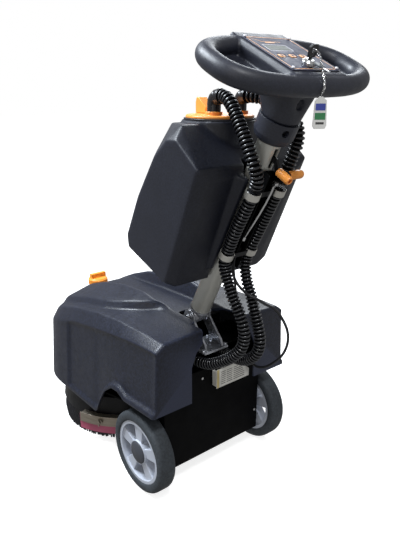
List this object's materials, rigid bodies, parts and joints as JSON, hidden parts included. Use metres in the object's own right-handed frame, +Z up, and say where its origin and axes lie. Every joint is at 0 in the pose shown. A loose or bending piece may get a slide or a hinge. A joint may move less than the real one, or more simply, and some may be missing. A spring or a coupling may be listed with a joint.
{
  "type": "walk-behind floor scrubber",
  "caption": "Compact walk-behind floor scrubber: domed deck with disc brush and curved squeegee, folding column with recovery tank, corrugated hoses, levers and loop handle with control panel.",
  "frame": {"origin": "on the floor, under the middle of the machine's overall length and width", "axes": "+Z up; -Y is forward, towards the brush; +Y is towards the operator and the handle; +X is the operator's left, and the axle runs along X"},
  "size_m": [0.41, 0.8668, 1.0026],
  "materials": {
    "deck_plastic": "fine grain",
    "handle_plastic": "fine grain",
    "black_plastic": "satin",
    "orange_plastic": "satin",
    "hose": "gloss",
    "rubber": "dull",
    "blade_rubber": "dull",
    "tyre": "dull",
    "rim_plastic": "satin",
    "tube_paint": "satin, metallic",
    "black_paint": "satin",
    "steel": "bright",
    "band_steel": "satin",
    "plate_paint": "satin",
    "label": "printed foil",
    "panel_film": "satin film",
    "display": "clear window over a grey display",
    "clip_plastic": "satin",
    "copper_board": "printed board",
    "battery_case": "satin",
    "bristle": "bristle ends",
    "fob_plastic": "satin"
  },
  "bodies": {
    "chassis": {"chassis_tub": "plate_paint", "axle": "steel", "brush_head_plate": "plate_paint", "pivot_bracket": "black_paint", "pivot_pin": "steel", "deck_cover": "deck_plastic", "clean_water_tank": "deck_plastic", "brush_skirt": "black_plastic", "brush_gearmotor": "steel", "battery": "battery_case", "vacuum_motor": "black_plastic", "rating_plate": "label"},
    "column": {"column_tube": "tube_paint", "column_foot": "steel", "backbone_channel": "black_paint", "upper_hose_clip": "clip_plastic", "lower_hose_clip": "clip_plastic", "neck_collar": "handle_plastic", "handle_upper_shell": "handle_plastic", "handle_lower_shell": "handle_plastic", "panel_plate": "panel_film", "display_window": "display", "control_board": "copper_board", "key_ring_and_chain": "steel", "recovery_tank": "deck_plastic", "left_upper_hose": "hose", "left_lower_hose": "hose", "right_upper_hose": "hose", "right_lower_hose": "hose", "lift_cable": "rubber", "console_cable": "rubber"},
    "left_wheel": {"left_tyre": "tyre", "left_rim": "rim_plastic", "left_hub_cap": "rim_plastic"},
    "right_wheel": {"right_tyre": "tyre", "right_rim": "rim_plastic", "right_hub_cap": "rim_plastic"},
    "brush": {"brush_disc": "black_plastic", "brush_bristles": "bristle"},
    "squeegee": {"squeegee_band": "band_steel", "squeegee_rear_blade": "blade_rubber", "squeegee_front_blade": "blade_rubber"},
    "tilt_lever": {"tilt_lever": "black_plastic", "tilt_lever_grip": "orange_plastic"},
    "lock_rod": {"lock_rod": "steel"},
    "lift_lever": {"lift_lever": "black_plastic", "lift_lever_grip": "orange_plastic"},
    "lift_rod": {"lift_rod": "steel"},
    "lid": {"tank_lid": "orange_plastic", "lid_seal": "rubber", "left_hose_elbow": "rubber", "right_hose_elbow": "rubber"},
    "lid_latch": {"lid_latch": "orange_plastic"},
    "filler_cap": {"filler_cap": "orange_plastic"},
    "key": {"ignition_key": "black_plastic", "key_switch": "steel"},
    "fob": {"key_fob": "fob_plastic"},
    "button_1": {"button_1": "orange_plastic"},
    "button_2": {"button_2": "orange_plastic"},
    "button_3": {"button_3": "orange_plastic"}
  },
  "joints": [
    {"name": "column_fold", "type": "hinge", "parent": "chassis", "child": "column", "pos_m": [0, 0.0868, 0.392], "axis": [1, 0, 0], "range_deg": [-25, 27], "deforming": ["left_lower_hose", "right_lower_hose", "lift_cable", "console_cable"]},
    {"name": "left_wheel_spin", "type": "hinge", "parent": "chassis", "child": "left_wheel", "pos_m": [0.177, 0.1028, 0.1], "axis": [1, 0, 0], "continuous": true},
    {"name": "right_wheel_spin", "type": "hinge", "parent": "chassis", "child": "right_wheel", "pos_m": [-0.177, 0.1028, 0.1], "axis": [1, 0, 0], "continuous": true},
    {"name": "brush_spin", "type": "hinge", "parent": "chassis", "child": "brush", "pos_m": [0, -0.2352, 0.06], "axis": [0, 0, 1], "continuous": true},
    {"name": "squeegee_lower", "type": "slide", "parent": "chassis", "child": "squeegee", "axis": [0, 0, -1], "range_m": [0, 0.03]},
    {"name": "tilt_lever_pull", "type": "hinge", "parent": "column", "child": "tilt_lever", "pos_m": [0, 0.28474, 0.78048], "axis": [1, 0, 0], "range_deg": [0, 18.2]},
    {"name": "lock_rod_push", "type": "slide", "parent": "column", "child": "lock_rod", "axis": [0, -0.454, -0.891], "range_m": [0, 0.003], "stiffness_N_per_m": 400, "springref_m": -0.01},
    {"name": "lift_lever_swing", "type": "hinge", "parent": "column", "child": "lift_lever", "pos_m": [-0.017, 0.29558, 0.73567], "axis": [-1, 0, 0], "range_deg": [0, 45]},
    {"name": "lift_rod_travel", "type": "slide", "parent": "column", "child": "lift_rod", "axis": [0, -0.454, -0.891], "range_m": [0, 0.0151]},
    {"name": "lid_lift", "type": "slide", "parent": "column", "child": "lid", "axis": [0, 0, 1], "range_m": [0, 0.06], "deforming": ["left_upper_hose", "right_upper_hose"]},
    {"name": "lid_latch_open", "type": "hinge", "parent": "lid", "child": "lid_latch", "pos_m": [0, 0.0938, 0.8563], "axis": [1, 0, 0], "range_deg": [0, 40]},
    {"name": "filler_cap_turn", "type": "hinge", "parent": "chassis", "child": "filler_cap", "pos_m": [0, -0.3892, 0.34], "axis": [0, 0, 1], "range_deg": [0, 90]},
    {"name": "key_turn", "type": "hinge", "parent": "column", "child": "key", "pos_m": [0.008, 0.39217, 0.95275], "axis": [0, 0.4226, 0.9063], "range_deg": [-60, 0], "deforming": ["key_ring_and_chain"]},
    {"name": "fob_swing", "type": "hinge", "parent": "column", "child": "fob", "pos_m": [0.013, 0.42574, 0.89792], "axis": [1, 0, 0], "range_deg": [-25, 60]},
    {"name": "button_1_press", "type": "slide", "parent": "column", "child": "button_1", "axis": [0, -0.4226, -0.9063], "range_m": [0, 0.001], "stiffness_N_per_m": 300},
    {"name": "button_2_press", "type": "slide", "parent": "column", "child": "button_2", "axis": [0, -0.4226, -0.9063], "range_m": [0, 0.001], "stiffness_N_per_m": 300},
    {"name": "button_3_press", "type": "slide", "parent": "column", "child": "button_3", "axis": [0, -0.4226, -0.9063], "range_m": [0, 0.001], "stiffness_N_per_m": 300}
  ],
  "couplings": [
    {"joint": "tilt_lever_pull", "follows": "lock_rod_push", "rad_per_m": 105},
    {"joint": "lift_lever_swing", "follows": "squeegee_lower", "rad_per_m": 26.1},
    {"joint": "lift_rod_travel", "follows": "squeegee_lower", "ratio": 0.5}
  ]
}
